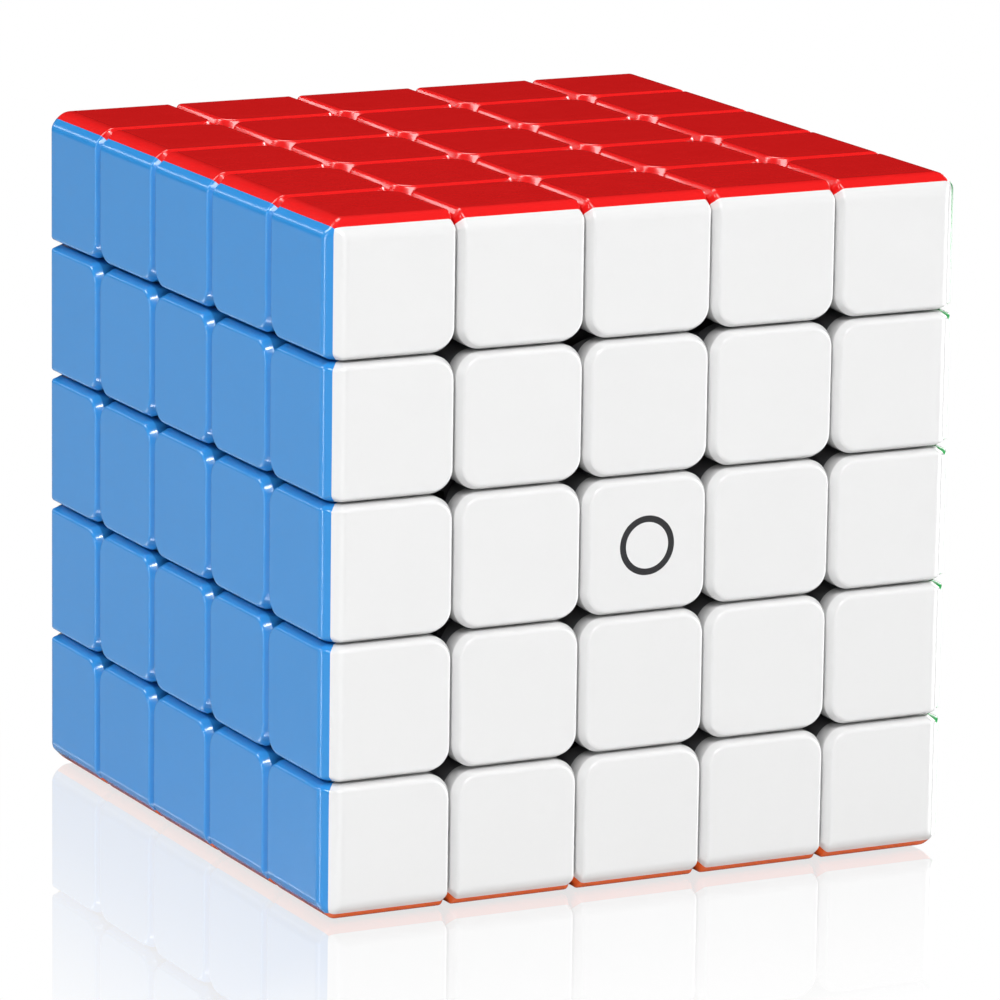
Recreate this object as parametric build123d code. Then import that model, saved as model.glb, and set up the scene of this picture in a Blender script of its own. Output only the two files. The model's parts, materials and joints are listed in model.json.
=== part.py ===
from build123d import *
import math
import os

# Five-layer twisty puzzle cube, turning about +Z at rest.
# The origin is the centre of the core, where all the turning axes meet.
# Faces: +Z red, -Y white, -X blue, +X green, +Y yellow, -Z orange.
# Each layer is cut from the next by a surface of revolution about its own axis, so that
# every layer can turn, and a step in that surface hooks each piece under its neighbour.

# ---- driving dimensions, millimetres ----
SIDE = 62.5
LAYERS = 5
PITCH = SIDE / LAYERS
HALF = SIDE / 2
INNER_CUT = PITCH / 2
OUTER_CUT = PITCH * 1.5
CLEAR = 0.1
REACH = 60.0

# cones that divide the layers inside the cube: height on the axis and rise per radius
INNER_CONE = (2.38, 0.138)
OUTER_CONE = (-2.45, math.sqrt(0.5))
DROP_RADIUS = 28.6
DROP_FOOT_RADIUS = 26.6

# the hooked feet run in a shell about the core ball
BALL_RADIUS = 14.0
FOOT_INNER_RADIUS = BALL_RADIUS + 0.2
FOOT_OUTER_RADIUS = 17.2
INNER_HOOK_HEIGHT = 3.0
OUTER_HOOK_DROP = 1.8

# coloured caps
CAP_DEPTH = 2.6
CAP_PLATE = 1.3
CAP_WALL = 1.2
CORNER_RADIUS = 2.5
EDGE_NOTCH_RADIUS = 0.7
BEVEL_WIDTH = 0.45
BEVEL_DEPTH = 0.9
EDGE_CHAMFER = 1.4
ROUNDED_DEPTH = 7.0

# feet: walls, and the ring that holds a single cap
FOOT_WALL = 1.2
HOLLOW_RADIUS = 21.0
RING_WIDTH = 1.0
RING_DEPTH = 3.4
RING_CLEAR = 0.05
CENTRE_RING_CLEAR = 0.15

# core spider, its shell and the six spring-loaded screws
POST_RADIUS = 2.7
POST_TOP = 17.6
HUB_RADIUS = 6.0
FLANGE_RADIUS = 4.2
FLANGE_HEIGHTS = (10.2, 11.4)
SHELL_THICKNESS = 1.8
POST_CLEAR = 0.1
STEM_INNER_RADIUS = 17.3
STEM_FLOOR = (17.75, 19.3)
CUP_RADIUS = 3.6
SCREW_RADIUS = 1.5
SCREW_HOLE_RADIUS = 1.7
THREAD_CLEAR = 0.05
SCREW_TIP = 9.0
THREAD_BOTTOM = 8.0
HEAD_RADIUS = 2.9
HEAD_HEIGHTS = (26.0, 28.0)
RECESS = (3.4, 0.8, 1.1)
WASHER_THICKNESS = 0.5
WASHER_RADIUS = 3.0
SPRING_WIRE_RADIUS = 0.3
SPRING_RADIUS = 2.8
SPRING_TURNS = 5
SPRING_GAP = 0.1


# ---- layers: solids of revolution between the cutting surfaces ----
def crossing(line_a, line_b):
    """Where two lines height = a + b * radius meet."""
    radius = (line_b[0] - line_a[0]) / (line_a[1] - line_b[1])
    return radius, line_a[0] + line_a[1] * radius


def sphere_crossing(line, ball):
    """Where a line height = a + b * radius leaves a ball about the origin."""
    a, b = line
    radius = (-a * b + math.sqrt(ball**2 * (1 + b**2) - a**2)) / (1 + b**2)
    return radius, a + b * radius


def shifted(line, by):
    """A line moved by a distance along its normal, up if positive."""
    return line[0] + by * math.sqrt(1 + line[1] ** 2), line[1]


def line_through(p, q):
    rise = (q[1] - p[1]) / (q[0] - p[0])
    return p[1] - rise * p[0], rise


def surface_points(which, side, clear, hooked):
    """Points of a cutting surface's half section, from the axis outwards.

    side is +1 for the layer above the surface and -1 for the layer below it, which both
    keep clear of it. A pair of points marked as an arc runs along the hook's ball.
    """
    inner = which == "inner"
    cone = INNER_CONE if inner else OUTER_CONE
    hook = (INNER_HOOK_HEIGHT, 0.0) if inner else (cone[0] - OUTER_HOOK_DROP, cone[1])
    by = side * clear
    plane = shifted((INNER_CUT if inner else OUTER_CUT, 0.0), by)
    lines = [shifted(cone, by)]
    if not inner:
        foot = (DROP_FOOT_RADIUS, cone[0] + cone[1] * DROP_FOOT_RADIUS)
        lines.append(shifted(line_through(foot, (DROP_RADIUS, OUTER_CUT)), by))
    lines.append(plane)
    outward = [crossing(a, b) for a, b in zip(lines, lines[1:])]
    outward.append((REACH, plane[0]))
    if not hooked:
        return [(0.0, lines[0][0])] + outward, None
    ball = FOOT_OUTER_RADIUS - by
    hook = shifted(hook, by)
    inward = [(0.0, hook[0]), sphere_crossing(hook, ball), sphere_crossing(lines[0], ball)]
    return inward + outward, ball


def section_edges(points, ball):
    """The edges through a surface's points, with an arc from the second to the third."""
    edges = []
    for n, (p, q) in enumerate(zip(points, points[1:])):
        start, end = Vector(p[0], 0, p[1]), Vector(q[0], 0, q[1])
        if ball and n == 1:
            middle = (start + end).normalized() * ball
            edges.append(ThreePointArc(start, middle, end))
        else:
            edges.append(Line(start, end))
    return edges


def turned(edges):
    """The solid that a closed half section sweeps about the Z axis."""
    return revolve(make_face(edges), Axis.Z, 360)


def start_at_crossing(lower, upper):
    """Both surfaces' points, from where their innermost lines meet near the axis."""
    meet = crossing(line_through(*lower[:2]), line_through(*upper[:2]))
    return [meet] + lower[1:], [meet] + upper[1:]


def layer(number, clear, hooked):
    """Layer 0, 1 or 2 above the centre, with its axis along Z."""
    if number == 0:
        points, ball = surface_points("inner", -1, clear, hooked)
        top = section_edges(points, ball)
        bottom = [mirror(e, about=Plane.XY) for e in top]
        rim = Line((REACH, 0, points[-1][1]), (REACH, 0, -points[-1][1]))
        axis = Line((0, 0, points[0][1]), (0, 0, -points[0][1]))
        return turned(top + bottom + [rim, axis])
    if number == 1:
        lower, ball_low = surface_points("inner", 1, clear, hooked)
        upper, ball_high = surface_points("outer", -1, clear, hooked)
        lower, upper = start_at_crossing(lower, upper)
        rim = Line((REACH, 0, lower[-1][1]), (REACH, 0, upper[-1][1]))
        return turned(section_edges(lower, ball_low) + section_edges(upper, ball_high) + [rim])
    points, ball = surface_points("outer", 1, clear, hooked)
    outline = [(REACH, points[-1][1]), (REACH, REACH), (0, REACH), (0, points[0][1])]
    sides = [Line((p[0], 0, p[1]), (q[0], 0, q[1])) for p, q in zip(outline, outline[1:])]
    return turned(section_edges(points, ball) + sides)


TO_X = Rotation(0, 90, 0)
TO_Y = Rotation(-90, 0, 0)


def cell(place, layers):
    """The space of one place in the cube: its layer about X, about Y and about Z."""
    i, j, k = place
    return TO_X * layers[i] & TO_Y * layers[j] & layers[k]


def largest(shape):
    return max(shape.solids(), key=lambda s: s.volume)


# ---- outer form of a tile ----
def span(number):
    """Lowest and highest coordinate of a layer at the cube's surface."""
    low = -INNER_CUT if number == 0 else INNER_CUT + (number - 1) * PITCH
    high = low + PITCH
    return low + CLEAR, HALF if number == 2 else high - CLEAR


def tile_outline(i, j):
    """The outline of a tile on the +Z face, with each corner rounded as its place asks."""
    (x0, x1), (y0, y1) = span(i), span(j)
    outline = Pos((x0 + x1) / 2, (y0 + y1) / 2) * Rectangle(x1 - x0, y1 - y0)
    for corner in outline.vertices():
        edges_met = (corner.X > HALF - CLEAR) + (corner.Y > HALF - CLEAR)
        here = outline.vertices().sort_by_distance(corner)[0]
        if edges_met == 2:
            outline = chamfer(here, EDGE_CHAMFER)
        else:
            outline = fillet(here, EDGE_NOTCH_RADIUS if edges_met else CORNER_RADIUS)
    return outline


def tile_cutter(i, j):
    """What is cut away around a tile on the +Z face, to round its corners and bevel it."""
    outline = tile_outline(i, j)
    taper = math.degrees(math.atan2(BEVEL_WIDTH, BEVEL_DEPTH))
    shoulder = HALF - BEVEL_DEPTH
    straight = extrude(Pos(0, 0, HALF - ROUNDED_DEPTH) * outline, ROUNDED_DEPTH - BEVEL_DEPTH)
    bevelled = extrude(Pos(0, 0, shoulder) * outline, BEVEL_DEPTH, taper=taper)
    around = Pos(HALF / 2, HALF / 2, HALF - ROUNDED_DEPTH / 2) * Box(2 * HALF, 2 * HALF, ROUNDED_DEPTH)
    return around - straight - bevelled


def edge_cutter():
    """The wedge that bevels the cube's edge between the +Y and +Z faces."""
    wedge = Polyline((HALF - EDGE_CHAMFER, HALF), (HALF, HALF), (HALF, HALF - EDGE_CHAMFER), close=True)
    return extrude(Plane.YZ * make_face(wedge), REACH, both=True)


def face_cutters(place):
    """All the cutters that shape a piece's outside: its tiles' grooves and the cube's edges."""
    i, j, k = place
    cutters = [tile_cutter(i, j)]
    if j == 2:
        cutters.append(mirror(tile_cutter(i, k), about=Plane((0, 0, 0), z_dir=(0, 1, -1))))
        cutters.append(edge_cutter())
    if i == 2:
        cutters.append(mirror(tile_cutter(k, j), about=Plane((0, 0, 0), z_dir=(1, 0, -1))))
        cutters.append(Rotation(0, 0, -90) * edge_cutter())
        cutters.append(Rotation(0, 90, 0) * edge_cutter())
    return cutters


# ---- one piece of each kind, split into its foot and its caps ----
def below(depth, place):
    """The block of space deeper than depth under every face that a place shows."""
    size = [HALF - depth if n == 2 else REACH for n in place]
    return Pos(*[(s - REACH) / 2 for s in size]) * Box(*[s + REACH for s in size])


def mitre(axis, other):
    """The half space in which the coordinate along axis is larger than along other."""
    normal = [0, 0, 0]
    normal[axis] = 1
    normal[other] = -1
    return Plane((0, 0, 0), z_dir=tuple(normal)) * Pos(0, 0, REACH) * Box(4 * REACH, 4 * REACH, 2 * REACH)


def build_piece(place, layers, hollow_layers):
    """(foot, {axis: cap}) of the piece at a place whose layers are all 0, 1 or 2."""
    shown = [axis for axis in range(3) if place[axis] == 2]
    whole = largest(cell(place, layers) & Box(SIDE, SIDE, SIDE))
    centre = place == (0, 0, 2)
    whole = whole - Sphere(STEM_INNER_RADIUS if centre else FOOT_INNER_RADIUS)
    for cutter in face_cutters(place):
        whole = whole - cutter
    whole = largest(whole)
    hollow = cell(place, hollow_layers) & below(CAP_PLATE, place)
    hollow = hollow - Sphere(HOLLOW_RADIUS)
    deep = below(CAP_DEPTH, place)
    skin = whole - deep - (hollow if len(shown) > 1 else cap_pocket(place))
    caps = {}
    for axis in shown:
        cap = skin
        for other in shown:
            if other != axis:
                cap = cap & mitre(axis, other)
        caps[axis] = largest(cap)
    foot = whole & deep
    foot = foot - (centre_bore() if centre else hollow)
    if len(shown) == 1:
        foot = foot + cap_ring(place, CENTRE_RING_CLEAR if centre else RING_CLEAR)
    if centre:
        lift = below(CAP_DEPTH + RING_CLEAR, place)
        rim = foot - lift
        foot = foot - (rim & outside_ring(place))
    return largest(foot), caps


def inset_tile(place, by):
    """The plan of the tile on the +Z face, drawn in by a distance on every side."""
    (x0, x1), (y0, y1) = span(place[0]), span(place[1])
    plan = RectangleRounded(x1 - x0 - 2 * by, y1 - y0 - 2 * by, CORNER_RADIUS / 2)
    return Pos((x0 + x1) / 2, (y0 + y1) / 2) * plan


def cap_pocket(place):
    """The hollow in the back of a single cap."""
    return extrude(Pos(0, 0, HALF / 2) * inset_tile(place, CAP_WALL), HALF / 2 - CAP_PLATE)


def cap_ring(place, clear):
    """The raised ring on a foot that a single cap is pushed over."""
    outer = inset_tile(place, CAP_WALL + clear)
    inner = inset_tile(place, CAP_WALL + clear + RING_WIDTH)
    height = RING_DEPTH - CAP_PLATE - RING_CLEAR
    return extrude(Pos(0, 0, HALF - RING_DEPTH) * (outer - inner), height)


def outside_ring(place):
    """The space around a foot's ring, where the cap's wall sits."""
    block = Pos(0, 0, HALF) * Box(2 * PITCH, 2 * PITCH, 2 * RING_DEPTH)
    return block - extrude(Pos(0, 0, HALF / 2) * inset_tile(place, CAP_WALL + CENTRE_RING_CLEAR), HALF)


def upright(radius, heights):
    """A cylinder on the Z axis between two heights."""
    low, high = heights
    return Pos(0, 0, (low + high) / 2) * Cylinder(radius, high - low)


def centre_bore():
    """The hole through a fixed centre: round the post, the screw and the spring."""
    bore = upright(POST_RADIUS + POST_CLEAR, (0, STEM_FLOOR[0]))
    bore += upright(SCREW_HOLE_RADIUS, (0, REACH))
    return bore + upright(CUP_RADIUS, (STEM_FLOOR[1], REACH))


# ---- core, screws, washers and springs, along +Z and copied to the six directions ----
def spider():
    body = Sphere(HUB_RADIUS)
    for turn in SIX_WAYS:
        body += turn * (upright(POST_RADIUS, (0, POST_TOP)) + upright(FLANGE_RADIUS, FLANGE_HEIGHTS))
    for turn in SIX_WAYS:
        body -= turn * upright(SCREW_RADIUS + THREAD_CLEAR, (THREAD_BOTTOM, REACH))
    return body


def core_shell(above):
    shell = Sphere(BALL_RADIUS) - Sphere(BALL_RADIUS - SHELL_THICKNESS)
    for turn in SIX_WAYS:
        shell -= turn * upright(POST_RADIUS + POST_CLEAR, (0, REACH))
    height = REACH / 2 if above else -REACH / 2
    return shell & Pos(0, 0, height) * Box(REACH, REACH, REACH)


def screw():
    body = upright(SCREW_RADIUS, (SCREW_TIP, HEAD_HEIGHTS[0])) + upright(HEAD_RADIUS, HEAD_HEIGHTS)
    length, width, depth = RECESS
    slot = Pos(0, 0, HEAD_HEIGHTS[1] - depth / 2) * Box(length, width, depth)
    return body - slot - Rotation(0, 0, 90) * slot


def washer():
    heights = (HEAD_HEIGHTS[0] - WASHER_THICKNESS, HEAD_HEIGHTS[0])
    return upright(WASHER_RADIUS, heights) - upright(SCREW_HOLE_RADIUS, heights)


def spring():
    low = STEM_FLOOR[1] + SPRING_WIRE_RADIUS + SPRING_GAP
    high = HEAD_HEIGHTS[0] - WASHER_THICKNESS - SPRING_WIRE_RADIUS - SPRING_GAP
    coil = Helix(pitch=(high - low) / SPRING_TURNS, height=high - low, radius=SPRING_RADIUS)
    wire = Plane(coil @ 0, z_dir=coil % 0) * Circle(SPRING_WIRE_RADIUS)
    return Pos(0, 0, low) * sweep(wire, path=coil, is_frenet=True)


# ---- the twenty-four turns of a cube, and where each copy goes ----
SIX_WAYS = [
    Rotation(0, 0, 0),
    Rotation(180, 0, 0),
    Rotation(90, 0, 0),
    Rotation(-90, 0, 0),
    Rotation(0, 90, 0),
    Rotation(0, -90, 0),
]
CUBE_TURNS = [way * Rotation(0, 0, 90 * quarter) for way in SIX_WAYS for quarter in range(4)]
KINDS = {
    "corner": (2, 2, 2),
    "middle_edge": (0, 2, 2),
    "wing": (1, 2, 2),
    "diagonal_centre": (1, 1, 2),
    "side_centre": (1, 0, 2),
    "centre": (0, 0, 2),
}
LAYER_NAMES = {2: "top", 1: "upper", 0: "middle", -1: "lower", -2: "bottom"}
FACE_NAMES = {
    (0, 0, 1): "top",
    (0, 0, -1): "bottom",
    (0, -1, 0): "front",
    (0, 1, 0): "back",
    (-1, 0, 0): "left",
    (1, 0, 0): "right",
}


def carried(turn, direction):
    """A direction of whole numbers after a turn of the cube."""
    end = (turn * Pos(*direction)).position
    return tuple(round(c) for c in end)


def foot_node(kind, place):
    if kind == "centre":
        return FACE_NAMES[tuple(c // 2 for c in place)] + "_centre_stem"
    if kind == "middle_edge" and place[2] == 0:
        return "middle_edge_feet"
    return f"{LAYER_NAMES[place[2]]}_{kind}_feet"


def cap_node(kind, place, face):
    name = FACE_NAMES[face]
    if kind == "centre":
        return f"{name}_centre_cap"
    if face[2] == 0:
        return f"{name}_{LAYER_NAMES[place[2]]}_row_caps"
    border = 2 in (abs(place[0]), abs(place[1]))
    return f"{name}_{'border' if border else 'inner'}_caps"


def all_nodes():
    """Every node's name and its solids, in the cube at rest."""
    layers = [layer(n, CLEAR, True) for n in range(3)]
    hollow_layers = [layer(n, CLEAR + FOOT_WALL, False) for n in range(3)]
    nodes = {}
    for kind, base in KINDS.items():
        foot, caps = build_piece(base, layers, hollow_layers)
        done = set()
        for turn in CUBE_TURNS:
            place = carried(turn, base)
            if place in done:
                continue
            done.add(place)
            nodes.setdefault(foot_node(kind, place), []).append(turn * foot)
            for axis, cap in caps.items():
                normal = tuple(int(n == axis) for n in range(3))
                node = cap_node(kind, place, carried(turn, normal))
                nodes.setdefault(node, []).append(turn * cap)
    nodes["core_spider"] = [spider()]
    nodes["core_shell_upper"] = [core_shell(True)]
    nodes["core_shell_lower"] = [core_shell(False)]
    for name, fitting in (
        ("tension_screws", screw()),
        ("spring_washers", washer()),
        ("tension_springs", spring()),
    ):
        nodes[name] = [way * fitting for way in SIX_WAYS]
    return nodes


def write_nodes():
    os.makedirs("parts", exist_ok=True)
    for name, shapes in all_nodes().items():
        solids = [s for shape in shapes for s in shape.solids()]
        export_step(solids[0] if len(solids) == 1 else Compound(children=solids), f"parts/{name}.step")


write_nodes()
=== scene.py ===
import json
import math

import bpy
import numpy as np
from mathutils import Matrix, Vector


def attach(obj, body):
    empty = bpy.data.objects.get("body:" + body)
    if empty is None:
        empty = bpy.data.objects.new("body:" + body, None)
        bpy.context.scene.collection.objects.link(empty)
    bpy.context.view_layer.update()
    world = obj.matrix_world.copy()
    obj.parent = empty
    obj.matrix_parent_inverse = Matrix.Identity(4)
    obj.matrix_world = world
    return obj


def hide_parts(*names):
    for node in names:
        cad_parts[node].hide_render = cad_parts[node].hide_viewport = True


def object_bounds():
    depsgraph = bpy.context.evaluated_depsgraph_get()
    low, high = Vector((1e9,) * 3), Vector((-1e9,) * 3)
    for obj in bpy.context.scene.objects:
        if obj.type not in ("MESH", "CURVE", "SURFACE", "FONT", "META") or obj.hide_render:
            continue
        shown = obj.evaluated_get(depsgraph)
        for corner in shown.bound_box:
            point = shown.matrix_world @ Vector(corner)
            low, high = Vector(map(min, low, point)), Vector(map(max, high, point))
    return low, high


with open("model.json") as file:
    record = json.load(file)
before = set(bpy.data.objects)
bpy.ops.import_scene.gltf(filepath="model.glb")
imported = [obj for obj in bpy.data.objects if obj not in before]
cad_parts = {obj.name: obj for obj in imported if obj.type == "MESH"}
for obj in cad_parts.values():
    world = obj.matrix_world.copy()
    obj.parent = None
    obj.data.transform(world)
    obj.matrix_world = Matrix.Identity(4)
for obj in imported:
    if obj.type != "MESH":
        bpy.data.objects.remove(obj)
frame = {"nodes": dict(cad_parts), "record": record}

# Sizes are in millimetres and become metres in the meshes.
# The cube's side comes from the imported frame; the rest are the caps' own.
MM = 0.001
cad_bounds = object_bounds()
HALF = cad_bounds[1][0] / MM
LAYERS = 5
PITCH = 2 * HALF / LAYERS
GAP = 0.1
TILE = PITCH / 2 - GAP

# one cap, in plan and in section: insets from its side, depths below the skin, and radii
CAP_DEPTH = 2.6
CAP_PLATE = 1.3
CAP_WALL = 1.2
CORNER_RADIUS = 2.25
BEVEL_WIDTH = 0.42
BEVEL_DEPTH = 0.85
SHOULDER_ROUND = 0.34
LIP_ROUND = 0.2
FOOT_ROUND = 0.12
NOTCH_ROUND = 1.4
FLAT_RIM = 0.05
ARC_STEPS = 10
FILLET_STEPS = 5
CREASE = math.radians(40)

# the plain ring printed on the front centre cap
MARK_RADIUS = 2.4
MARK_WIDTH = 0.6

# the cube's own edges
EDGE_CHAMFER = 1.4
VERTEX_CUT = 2.4
SKIN_ROUND = 0.32

# where the skin is searched for, and how often the search halves its range
SEARCH_DEPTH = 8.0
SEARCH_RANGE = 9.0
HALVINGS = 44

# Places along a side that runs out to a seam, as shares of the way from the first, which lies
# inside the seam at every depth. The shares crowd together where the chamfer bends.
STATION_START = HALF - CAP_DEPTH - 0.3
STATIONS = (0.0, 0.27, 0.33, 0.42, 0.49, 0.56, 0.64, 0.71, 0.78, 0.84, 0.9, 1.0)
SEAM_GUESS = 1.0
SEAM_ROUNDS = 30

# the plastics and metals: noise scales are in cells a metre
FLOW_SCALE = 90.0
POLISH_SCALE = 420.0
GRAIN_SCALE = 5200.0
GRAIN_HEIGHT = 0.0001
LATHE_SCALE = 2500.0
LATHE_ROUGHNESS = (0.7, 1.4)
LATHE_TINT = 0.9
TINT_RANGE = 0.015
ROUGHNESS_RANGE = 0.15
FLOW_SHARE = 0.6
PIECE_SHARE = 0.4
COAT_ROUGHNESS = 0.09
PLASTIC_IOR = 1.5
INK = (0.02, 0.02, 0.022, 1)

# the stage, in metres, with its shares of reflected light; the lens is in millimetres
FLOOR_SIZE = 4.0
FLOOR_DROP = 0.0002
REFLECTION = 0.24
REFLECTION_REACH = 0.045
FLOOR_SHEEN = 0.6
LIGHT_DISTANCE = 0.9
ROOM_LIGHT = 0.04
ROOM_DARK_FROM = 0.7
CAMERA_PLACE = Vector((-0.27487, -0.54673, 0.13615))
CAMERA_TARGET = Vector((-0.00039, -0.00307, -0.00174))
CAMERA_ROLL = math.radians(0.801)
CAMERA_LENS = 244.33
CAMERA_SENSOR = 36.0


# ---- skin of the cube: flat faces, chamfered edges, everything slightly rounded ----
def skin_depth(x, y, z):
    """Signed distance to the cube's skin near its +X +Y +Z corner, negative inside."""
    planes = [
        x - HALF,
        y - HALF,
        z - HALF,
        (x + y - 2 * HALF + EDGE_CHAMFER) / math.sqrt(2),
        (y + z - 2 * HALF + EDGE_CHAMFER) / math.sqrt(2),
        (x + z - 2 * HALF + EDGE_CHAMFER) / math.sqrt(2),
        (x + y + z - 3 * HALF + VERTEX_CUT) / math.sqrt(3),
    ]
    planes = np.array(np.broadcast_arrays(*planes))
    near = np.clip(planes + SKIN_ROUND, 0, None)
    return np.minimum(planes.max(axis=0), -SKIN_ROUND) + np.sqrt((near**2).sum(axis=0))


def solve(function, low, high):
    """Where a rising function of arrays crosses zero, by halving."""
    for _ in range(HALVINGS):
        middle = (low + high) / 2
        above = function(middle) > 0
        high = np.where(above, middle, high)
        low = np.where(above, low, middle)
    return (low + high) / 2


def height_at(x, y, depth):
    """The height of the surface at a depth under the skin above a point of the plan."""
    low = np.full(np.shape(x), HALF - SEARCH_DEPTH)
    return solve(lambda z: skin_depth(x, y, z) + depth, low, low + SEARCH_RANGE)


def seam_at(x, depth):
    """How far out the seam between two colours lies at a depth, beside plan position x."""
    low = np.full(np.shape(x), HALF - SEARCH_DEPTH)
    return solve(lambda t: skin_depth(x, t, t) + depth, low, low + SEARCH_RANGE)


# ---- section of a cap, from the inside of its plate round its wall to the flat top ----
def rounded_bend(before, corner, after, radius, steps):
    """Points of a fillet of a radius at a corner between two straight runs."""
    a = np.array(before, float) - corner
    b = np.array(after, float) - corner
    a /= np.linalg.norm(a)
    b /= np.linalg.norm(b)
    half_turn = math.acos(np.clip(a @ b, -1, 1)) / 2
    middle = (a + b) / np.linalg.norm(a + b)
    centre = np.array(corner) + middle * radius / math.sin(half_turn)
    start = np.array(corner) + a * radius / math.tan(half_turn) - centre
    end = np.array(corner) + b * radius / math.tan(half_turn) - centre
    sweep = math.pi - 2 * half_turn
    across = (end - start * math.cos(sweep)) / math.sin(sweep)
    turns = [sweep * n / steps for n in range(steps + 1)]
    return [centre + start * math.cos(t) + across * math.sin(t) for t in turns]


def cap_section():
    """(inset, depth) pairs round a cap's wall and bevel."""
    inner_bottom, bottom = (CAP_WALL, CAP_DEPTH), (0.0, CAP_DEPTH)
    lip, shoulder, top = (0.0, BEVEL_DEPTH), (BEVEL_WIDTH, 0.0), (TILE, 0.0)
    points = [np.array((CAP_WALL, CAP_PLATE)), np.array(inner_bottom)]
    points += rounded_bend(inner_bottom, bottom, lip, FOOT_ROUND, 2)
    points += rounded_bend(bottom, lip, shoulder, LIP_ROUND, FILLET_STEPS)
    points += rounded_bend(lip, shoulder, top, SHOULDER_ROUND, FILLET_STEPS + 2)
    points.append(points[-1] + (FLAT_RIM, 0.0))
    return points


SECTION = cap_section()


# ---- the three shapes of tile, on the +Z face, as lists of closed loops of points ----
def side_limits(number):
    """Plan limits of a tile in layer 0 or 2, and whether its high side is the cube's edge."""
    if number == 0:
        return -TILE, TILE, False
    return HALF - PITCH + GAP, HALF, True


def outline(limits_x, limits_y, inset, depth):
    """Plan points round a tile at an inset, in order.

    They start at the top left, go down the left side and round to the top right. A side that
    ends at a seam has no corner there, so the outline is open.
    """
    x0, x1, seam_x = limits_x
    y0, y1, seam_y = limits_y
    radius = CORNER_RADIUS - inset
    left, right, low, high = x0 + inset, x1 - inset, y0 + inset, y1 - inset

    def arc(cx, cy, start):
        angles = [start + math.pi / 2 * n / ARC_STEPS for n in range(ARC_STEPS + 1)]
        return [(cx + radius * math.cos(a), cy + radius * math.sin(a)) for a in angles]

    def towards_seam(side, inwards):
        """(place across, place along) pairs of a straight side that ends at a seam."""
        end = float(seam_at(np.array(side), depth))
        along = [STATION_START + (end - STATION_START) * station for station in STATIONS]
        over = [max(a - HALF + NOTCH_ROUND, 0.0) for a in along]
        across = [side + inwards * (NOTCH_ROUND - math.sqrt(NOTCH_ROUND**2 - o**2)) for o in over]
        return list(zip(across, along))

    points = []
    if seam_y:
        points += towards_seam(left, 1)[::-1]
    else:
        points += arc(left + radius, high - radius, math.pi / 2)
    points += arc(left + radius, low + radius, math.pi)
    if seam_x:
        return points + [(along, across) for across, along in towards_seam(low, 1)]
    points += arc(right - radius, low + radius, 1.5 * math.pi)
    if seam_y:
        points += towards_seam(right, -1)
    else:
        points += arc(right - radius, high - radius, 0.0)
    return points


def lifted(points, depth):
    """Plan points with their heights at a depth under the skin."""
    plan = np.array(points)
    return np.column_stack([plan, height_at(plan[:, 0], plan[:, 1], depth)])


def corner_grid(depth):
    """A corner tile's grid of points at a depth, from the flat out to its two seams."""
    stations = np.array(STATIONS)
    u, v = np.meshgrid(stations, stations, indexing="ij")
    x = y = np.full(u.shape, HALF - SEAM_GUESS)
    for _ in range(SEAM_ROUNDS):
        x_end, y_end = seam_at(y, depth), seam_at(x, depth)
        x = STATION_START + u * (x_end - STATION_START)
        y = STATION_START + v * (y_end - STATION_START)
    return np.stack([x, y, height_at(x, y, depth)], axis=-1)


def sheet_faces(limits_x, limits_y, ring, depth):
    """Faces that close a tile inside a ring, on the outside or under the plate."""
    seam_x, seam_y = limits_x[2], limits_y[2]
    count = len(STATIONS)
    if not seam_y:
        return [list(ring)]
    left, right = ring[:count][::-1], ring[-count:]
    faces = [list(ring[count - 1 : len(ring) - count + 1])]
    if not seam_x:
        for n in range(count - 1):
            faces.append([left[n], right[n], right[n + 1], left[n + 1]])
        return faces
    grid = [[None] + left]
    grid += [[right[n]] + row for n, row in enumerate(corner_rows(depth))]
    faces[0].append(grid[1][1])
    for i in range(count):
        for j in range(count):
            if i + j > 0:
                faces.append([grid[i][j], grid[i + 1][j], grid[i + 1][j + 1], grid[i][j + 1]])
    return faces


def corner_rows(depth):
    """The corner tile's grid as rows of plain points."""
    return [[tuple(p) for p in row] for row in corner_grid(depth)]


def tile_loops(i, j):
    """All faces of the tile of layers i and j on the +Z face, as loops of points."""
    limits_x, limits_y = side_limits(i), side_limits(j)
    closed = not (limits_x[2] or limits_y[2])
    rings = []
    for inset, depth in SECTION:
        points = lifted(outline(limits_x, limits_y, inset, depth), depth)
        rings.append([tuple(p) for p in points])
    faces = []
    for lower, upper in zip(rings, rings[1:]):
        steps = len(lower) if closed else len(lower) - 1
        for n in range(steps):
            m = (n + 1) % len(lower)
            faces.append([lower[n], lower[m], upper[m], upper[n]])
    in_depth, out_depth = SECTION[0][1], SECTION[-1][1]
    inner = sheet_faces(limits_x, limits_y, rings[0], in_depth)
    faces += [face[::-1] for face in inner]
    faces += sheet_faces(limits_x, limits_y, rings[-1], out_depth)
    if not limits_y[2]:
        return faces
    start, end = [ring[0] for ring in rings], [ring[-1] for ring in rings]
    if not limits_x[2]:
        return faces + [start + end[::-1]]
    outside, inside = corner_rows(out_depth), corner_rows(in_depth)
    faces.append(start + [row[-1] for row in outside] + [row[-1] for row in inside][::-1])
    faces.append(end[::-1] + inside[-1] + outside[-1][::-1])
    return faces


def tile_mesh(i, j):
    """One tile as a list of vertices, in metres, and a list of faces, with shared points welded."""
    verts, faces, known = [], [], {}
    for loop in tile_loops(i, j):
        face = []
        for point in loop:
            key = tuple(round(c, 4) for c in point)
            if key not in known:
                known[key] = len(verts)
                verts.append(Vector(point) * MM)
            if not face or face[-1] != known[key]:
                face.append(known[key])
        if face[0] == face[-1]:
            face.pop()
        if len(set(face)) > 2:
            faces.append(face)
    return verts, faces


TILES = {
    "inner": tile_mesh(0, 0),
    "border": tile_mesh(0, 2),
    "corner": tile_mesh(2, 2),
}


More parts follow.
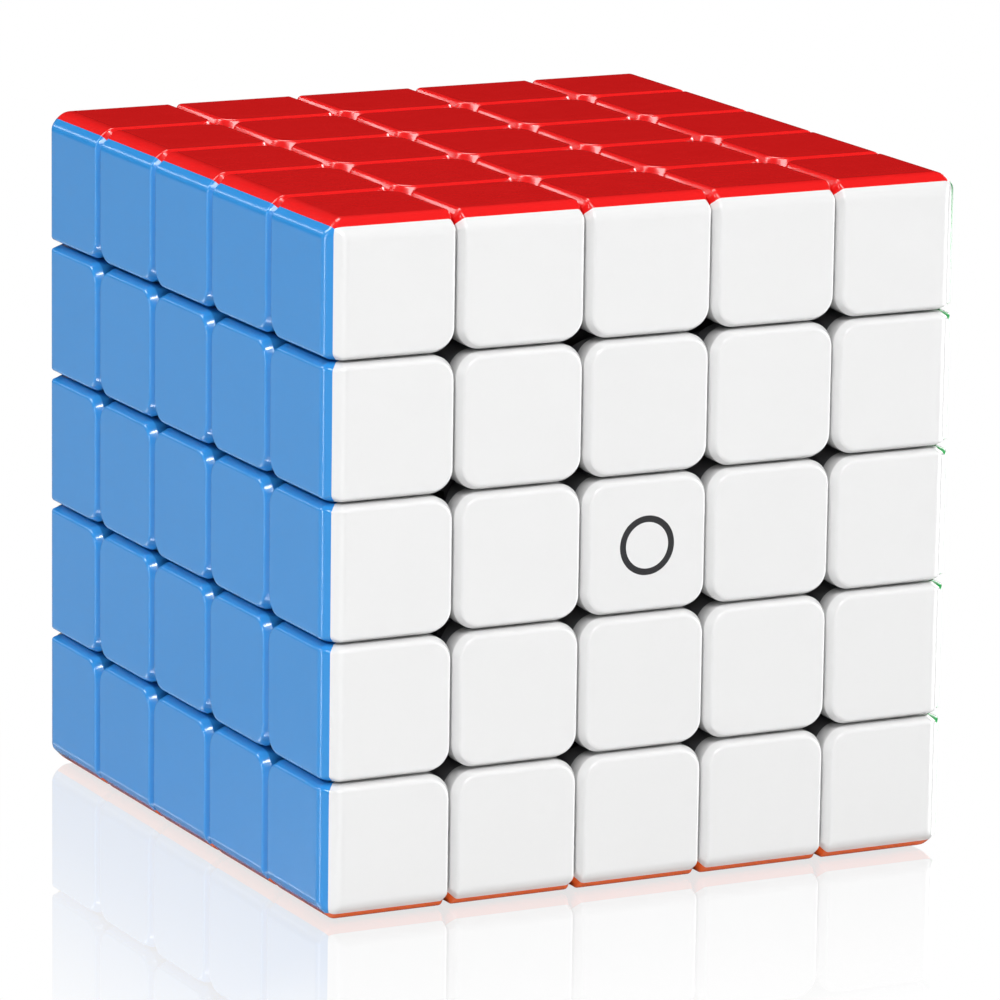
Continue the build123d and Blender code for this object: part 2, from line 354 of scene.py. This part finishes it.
def placed_tile(i, j):
    """The tile shape for plan place (i, j) and its placement on the +Z face."""
    edge_x, edge_y = abs(i) == 2, abs(j) == 2
    if edge_x and edge_y:
        turns = [(1, 1), (-1, 1), (-1, -1), (1, -1)].index((i // 2, j // 2))
        return TILES["corner"], Matrix.Rotation(math.pi / 2 * turns, 4, "Z")
    shift = Vector((0 if edge_x else i, 0 if edge_y else j, 0)) * PITCH * MM
    if not (edge_x or edge_y):
        return TILES["inner"], Matrix.Translation(shift)
    outwards = (i // 2, 0) if edge_x else (0, j // 2)
    turns = [(0, 1), (-1, 0), (0, -1), (1, 0)].index(outwards)
    return TILES["border"], Matrix.Translation(shift) @ Matrix.Rotation(math.pi / 2 * turns, 4, "Z")


# turns that carry the +Z face to each face of the cube
FACES = {
    "top": Matrix.Identity(4),
    "bottom": Matrix.Rotation(math.pi, 4, "X"),
    "front": Matrix.Rotation(math.pi / 2, 4, "X"),
    "back": Matrix.Rotation(-math.pi / 2, 4, "X"),
    "right": Matrix.Rotation(math.pi / 2, 4, "Y"),
    "left": Matrix.Rotation(-math.pi / 2, 4, "Y"),
}
ROWS = {2: "top", 1: "upper", 0: "middle", -1: "lower", -2: "bottom"}


def node_of(face, turn, i, j):
    """The CAD node that holds the cap at plan place (i, j) of a face."""
    if i == 0 and j == 0:
        return f"{face}_centre_cap"
    if face in ("top", "bottom"):
        return f"{face}_{'border' if 2 in (abs(i), abs(j)) else 'inner'}_caps"
    spot = turn @ Vector((i, j, 2))
    return f"{face}_{ROWS[round(spot.z)]}_row_caps"


def build_caps():
    """One object for each CAD node of caps, with every tile at its place."""
    groups = {}
    for face, turn in FACES.items():
        for i in range(-2, 3):
            for j in range(-2, 3):
                node = node_of(face, turn, i, j)
                groups.setdefault(node, []).append((face, turn, i, j))
    made = {}
    for node, places in groups.items():
        mesh = bpy.data.meshes.new(node + "_tiles")
        points, polygons = [], []
        for face, turn, i, j in places:
            (verts, faces), spin = placed_tile(i, j)
            base = len(points)
            points += [turn @ spin @ v for v in verts]
            polygons += [[base + n for n in f] for f in faces]
        mesh.from_pydata(points, [], polygons)
        mesh.validate()
        mesh.polygons.foreach_set("use_smooth", [True] * len(mesh.polygons))
        mesh.set_sharp_from_angle(angle=CREASE)
        piece = bpy.data.objects.new(node + "_tiles", mesh)
        bpy.context.scene.collection.objects.link(piece)
        made[node] = (piece, places[0][0])
    return made


# ---- materials ----
def new_material(name):
    """A material with its nodes, its links and its shader."""
    material = bpy.data.materials.new(name)
    material.use_nodes = True
    nodes = material.node_tree.nodes
    return material, nodes, material.node_tree.links, nodes["Principled BSDF"]


def add(nodes, kind, **values):
    """A new node with its inputs, or its own settings, set by name."""
    node = nodes.new(kind)
    for key, value in values.items():
        if key in node.inputs:
            node.inputs[key].default_value = value
        else:
            setattr(node, key, value)
    return node


def moulded_plastic(name, colour, roughness=0.24, grain=0.02, coat=0.5):
    """Glossy moulded plastic: faint flow marks in its colour and a very fine grain."""
    material, nodes, links, shader = new_material(name)
    where = add(nodes, "ShaderNodeTexCoord")
    flow = add(nodes, "ShaderNodeTexNoise", Scale=FLOW_SCALE, Detail=3.0, Roughness=0.55)
    links.new(where.outputs["Object"], flow.inputs["Vector"])
    island = add(nodes, "ShaderNodeNewGeometry")
    tint = add(nodes, "ShaderNodeMix", data_type="RGBA", blend_type="MIX")
    tint.inputs["A"].default_value = (*[c * (1 - TINT_RANGE) for c in colour], 1)
    tint.inputs["B"].default_value = (*[min(c * (1 + TINT_RANGE), 1) for c in colour], 1)
    blend = add(nodes, "ShaderNodeMath", operation="MULTIPLY_ADD")
    links.new(flow.outputs["Fac"], blend.inputs[0])
    blend.inputs[1].default_value = FLOW_SHARE
    piece_share = add(nodes, "ShaderNodeMath", operation="MULTIPLY")
    links.new(island.outputs["Random Per Island"], piece_share.inputs[0])
    piece_share.inputs[1].default_value = PIECE_SHARE
    links.new(piece_share.outputs[0], blend.inputs[2])
    links.new(blend.outputs[0], tint.inputs["Factor"])
    links.new(tint.outputs["Result"], shader.inputs["Base Color"])
    polish = add(nodes, "ShaderNodeTexNoise", Scale=POLISH_SCALE, Detail=4.0, Roughness=0.6)
    links.new(where.outputs["Object"], polish.inputs["Vector"])
    spread = add(nodes, "ShaderNodeMapRange")
    spread.inputs["To Min"].default_value = roughness * (1 - ROUGHNESS_RANGE)
    spread.inputs["To Max"].default_value = roughness * (1 + ROUGHNESS_RANGE)
    links.new(polish.outputs["Fac"], spread.inputs["Value"])
    links.new(spread.outputs["Result"], shader.inputs["Roughness"])
    fine = add(nodes, "ShaderNodeTexNoise", Scale=GRAIN_SCALE, Detail=2.0)
    links.new(where.outputs["Object"], fine.inputs["Vector"])
    bump = add(nodes, "ShaderNodeBump", Strength=grain, Distance=GRAIN_HEIGHT)
    links.new(fine.outputs["Fac"], bump.inputs["Height"])
    links.new(bump.outputs["Normal"], shader.inputs["Normal"])
    shader.inputs["Coat Weight"].default_value = coat
    shader.inputs["Coat Roughness"].default_value = COAT_ROUGHNESS
    shader.inputs["IOR"].default_value = PLASTIC_IOR
    return material


def printed_ring(material):
    """A plain dark ring printed in the middle of the front centre tile."""
    nodes, links = material.node_tree.nodes, material.node_tree.links
    shader = nodes["Principled BSDF"]
    plain = shader.inputs["Base Color"].links[0].from_socket
    where = add(nodes, "ShaderNodeTexCoord")
    flat = add(nodes, "ShaderNodeVectorMath", operation="MULTIPLY")
    links.new(where.outputs["Object"], flat.inputs[0])
    flat.inputs[1].default_value = (1, 0, 1)
    out = add(nodes, "ShaderNodeVectorMath", operation="LENGTH")
    links.new(flat.outputs["Vector"], out.inputs[0])
    inked = add(nodes, "ShaderNodeMath", operation="COMPARE")
    links.new(out.outputs["Value"], inked.inputs[0])
    inked.inputs[1].default_value = MARK_RADIUS * MM
    inked.inputs[2].default_value = MARK_WIDTH / 2 * MM
    ink = add(nodes, "ShaderNodeMix", data_type="RGBA")
    links.new(inked.outputs[0], ink.inputs["Factor"])
    links.new(plain, ink.inputs["A"])
    ink.inputs["B"].default_value = INK
    links.new(ink.outputs["Result"], shader.inputs["Base Color"])


def metal(name, colour, roughness):
    """Turned steel with fine lathe marks."""
    material, nodes, links, shader = new_material(name)
    where = add(nodes, "ShaderNodeTexCoord")
    marks = add(nodes, "ShaderNodeTexNoise", Scale=LATHE_SCALE, Detail=3.0)
    links.new(where.outputs["Object"], marks.inputs["Vector"])
    spread = add(nodes, "ShaderNodeMapRange")
    spread.inputs["To Min"].default_value = roughness * LATHE_ROUGHNESS[0]
    spread.inputs["To Max"].default_value = roughness * LATHE_ROUGHNESS[1]
    links.new(marks.outputs["Fac"], spread.inputs["Value"])
    links.new(spread.outputs["Result"], shader.inputs["Roughness"])
    tint = add(nodes, "ShaderNodeMix", data_type="RGBA")
    tint.inputs["A"].default_value = (*[c * LATHE_TINT for c in colour], 1)
    tint.inputs["B"].default_value = (*colour, 1)
    links.new(marks.outputs["Fac"], tint.inputs["Factor"])
    links.new(tint.outputs["Result"], shader.inputs["Base Color"])
    shader.inputs["Metallic"].default_value = 1.0
    return material


FACE_COLOURS = {
    "front": ("white", (0.775, 0.775, 0.775)),
    "left": ("blue", (0.030, 0.265, 0.66)),
    "top": ("red", (0.78, 0.011, 0.011)),
    "right": ("green", (0.01, 0.36, 0.075)),
    "back": ("yellow", (0.90, 0.70, 0.015)),
    "bottom": ("orange", (0.82, 0.13, 0.02)),
}
cap_materials = {
    face: moulded_plastic(f"{name}_moulded_plastic", colour)
    for face, (name, colour) in FACE_COLOURS.items()
}
dark_plastic = moulded_plastic("dark_inner_plastic", (0.12, 0.12, 0.125), 0.38, 0.05, 0.0)
core_plastic = moulded_plastic("core_plastic", (0.05, 0.05, 0.055), 0.35, 0.05, 0.0)
screw_steel = metal("screw_steel", (0.62, 0.62, 0.63), 0.28)
washer_steel = metal("washer_steel", (0.70, 0.70, 0.70), 0.22)
spring_steel = metal("spring_steel", (0.58, 0.58, 0.60), 0.25)
NODE_MATERIALS = {
    "tension_screws": screw_steel,
    "spring_washers": washer_steel,
    "tension_springs": spring_steel,
    "core_spider": core_plastic,
    "core_shell_upper": core_plastic,
    "core_shell_lower": core_plastic,
}

body_of_node = {
    node: body for body, nodes in frame["record"]["behaviour"]["bodies"].items() for node in nodes
}
marked_plastic = moulded_plastic("white_marked_plastic", FACE_COLOURS["front"][1])
printed_ring(marked_plastic)
for node, (piece, face) in build_caps().items():
    marked = node == "front_centre_cap"
    piece.data.materials.append(marked_plastic if marked else cap_materials[face])
    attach(piece, body_of_node[node])
    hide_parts(node)
for node, shape in frame["nodes"].items():
    if node.endswith(("_feet", "_stem")) or node in NODE_MATERIALS:
        shape.data.materials.clear()
        shape.data.materials.append(NODE_MATERIALS.get(node, dark_plastic))


# ---- floor, light and camera ----
def studio_floor():
    """A pale glossy floor whose reflection of the cube fades away in front of it."""
    bpy.ops.mesh.primitive_plane_add(size=FLOOR_SIZE, location=(0, 0, -HALF * MM - FLOOR_DROP))
    floor = bpy.context.object
    floor.name = "studio_floor"
    material, nodes, links, pale = new_material("pale_floor")
    output = nodes["Material Output"]
    pale.inputs["Base Color"].default_value = (0.8, 0.8, 0.8, 1)
    pale.inputs["Roughness"].default_value = 0.5
    sheen = add(nodes, "ShaderNodeBsdfGlossy", Roughness=0.05)
    around = add(nodes, "ShaderNodeMixShader", Fac=FLOOR_SHEEN)
    links.new(pale.outputs["BSDF"], around.inputs[1])
    links.new(sheen.outputs["BSDF"], around.inputs[2])
    white = add(nodes, "ShaderNodeEmission", Strength=1.0)
    mirror = add(nodes, "ShaderNodeBsdfGlossy", Color=(1, 1, 1, 1), Roughness=0.0)
    where = add(nodes, "ShaderNodeTexCoord")
    apart = add(nodes, "ShaderNodeSeparateXYZ")
    links.new(where.outputs["Object"], apart.inputs["Vector"])
    outside = []
    for axis in ("X", "Y"):
        size = add(nodes, "ShaderNodeMath", operation="ABSOLUTE")
        links.new(apart.outputs[axis], size.inputs[0])
        over = add(nodes, "ShaderNodeMath", operation="SUBTRACT")
        links.new(size.outputs[0], over.inputs[0])
        over.inputs[1].default_value = HALF * MM
        clipped = add(nodes, "ShaderNodeMath", operation="MAXIMUM")
        links.new(over.outputs[0], clipped.inputs[0])
        clipped.inputs[1].default_value = 0.0
        outside.append(clipped)
    further = add(nodes, "ShaderNodeMath", operation="MAXIMUM")
    links.new(outside[0].outputs[0], further.inputs[0])
    links.new(outside[1].outputs[0], further.inputs[1])
    fade = add(nodes, "ShaderNodeMapRange", interpolation_type="SMOOTHSTEP")
    fade.inputs["From Max"].default_value = REFLECTION_REACH
    fade.inputs["To Min"].default_value = REFLECTION
    fade.inputs["To Max"].default_value = 0.0
    links.new(further.outputs[0], fade.inputs["Value"])
    seen = add(nodes, "ShaderNodeMixShader")
    links.new(fade.outputs["Result"], seen.inputs["Fac"])
    links.new(white.outputs["Emission"], seen.inputs[1])
    links.new(mirror.outputs["BSDF"], seen.inputs[2])
    path = add(nodes, "ShaderNodeLightPath")
    mix = add(nodes, "ShaderNodeMixShader")
    links.new(path.outputs["Is Camera Ray"], mix.inputs["Fac"])
    links.new(around.outputs["Shader"], mix.inputs[1])
    links.new(seen.outputs["Shader"], mix.inputs[2])
    links.new(mix.outputs["Shader"], output.inputs["Surface"])
    floor.data.materials.append(material)


def soft_light(name, azimuth, elevation, size, watts):
    """A soft box that faces the cube; azimuth in degrees from the white face round to the blue."""
    data = bpy.data.lights.new(name, "AREA")
    data.shape = "RECTANGLE"
    data.size, data.size_y = size
    data.energy = watts
    light = bpy.data.objects.new(name, data)
    around, up = math.radians(azimuth), math.radians(elevation)
    outwards = Vector(
        (-math.sin(around) * math.cos(up), -math.cos(around) * math.cos(up), math.sin(up))
    )
    light.location = outwards * LIGHT_DISTANCE
    light.rotation_euler = (-outwards).to_track_quat("-Z", "Y").to_euler()
    bpy.context.scene.collection.objects.link(light)


def studio_world():
    """White behind the cube, and a dim room in its reflections."""
    world = bpy.data.worlds.new("studio")
    bpy.context.scene.world = world
    world.use_nodes = True
    nodes, links = world.node_tree.nodes, world.node_tree.links
    room = nodes["Background"]
    room.inputs["Color"].default_value = (1, 1, 1, 1)
    where = add(nodes, "ShaderNodeTexCoord")
    apart = add(nodes, "ShaderNodeSeparateXYZ")
    links.new(where.outputs["Generated"], apart.inputs["Vector"])
    behind = add(nodes, "ShaderNodeMapRange", interpolation_type="SMOOTHSTEP")
    behind.inputs["From Min"].default_value = 0.0
    behind.inputs["From Max"].default_value = ROOM_DARK_FROM
    behind.inputs["To Min"].default_value = ROOM_LIGHT
    behind.inputs["To Max"].default_value = 0.0
    links.new(apart.outputs["Y"], behind.inputs["Value"])
    links.new(behind.outputs["Result"], room.inputs["Strength"])
    backdrop = add(nodes, "ShaderNodeBackground")
    backdrop.inputs["Color"].default_value = (1, 1, 1, 1)
    backdrop.inputs["Strength"].default_value = 1.0
    path = add(nodes, "ShaderNodeLightPath")
    seen = add(nodes, "ShaderNodeMath", operation="MAXIMUM")
    links.new(path.outputs["Is Camera Ray"], seen.inputs[0])
    links.new(path.outputs["Is Singular Ray"], seen.inputs[1])
    mix = add(nodes, "ShaderNodeMixShader")
    links.new(seen.outputs[0], mix.inputs["Fac"])
    links.new(room.outputs["Background"], mix.inputs[1])
    links.new(backdrop.outputs["Background"], mix.inputs[2])
    links.new(mix.outputs["Shader"], nodes["World Output"].inputs["Surface"])


def studio_camera():
    """A long lens that sees three faces, as the photograph does."""
    data = bpy.data.cameras.new("camera")
    data.lens = CAMERA_LENS
    data.sensor_width = CAMERA_SENSOR
    camera = bpy.data.objects.new("camera", data)
    look = (CAMERA_TARGET - CAMERA_PLACE).to_track_quat("-Z", "Y").to_matrix().to_4x4()
    roll = Matrix.Rotation(CAMERA_ROLL, 4, "Z")
    camera.matrix_world = Matrix.Translation(CAMERA_PLACE) @ look @ roll
    bpy.context.scene.collection.objects.link(camera)
    bpy.context.scene.camera = camera


studio_floor()
studio_world()
soft_light("right_box", -68, 14, (0.4, 0.4), 4.6)
soft_light("key_box", 20, 48, (0.4, 0.4), 4.3)
soft_light("front_box", 18, 12, (0.4, 0.4), 1.2)
soft_light("left_strip", 94, 12, (0.07, 0.5), 2.0)
soft_light("rear_left_box", 135, 38, (0.3, 0.3), 2.2)
soft_light("rear_strip", 154, 17, (0.4, 0.03), 0.2)
soft_light("back_box", -122, 14, (0.3, 0.3), 1.6)
soft_light("top_box", 180, 62, (0.4, 0.4), 2.6)
soft_light("high_box", 50, 55, (0.12, 0.12), 1.7)
studio_camera()
bpy.context.scene.view_settings.view_transform = "Standard"
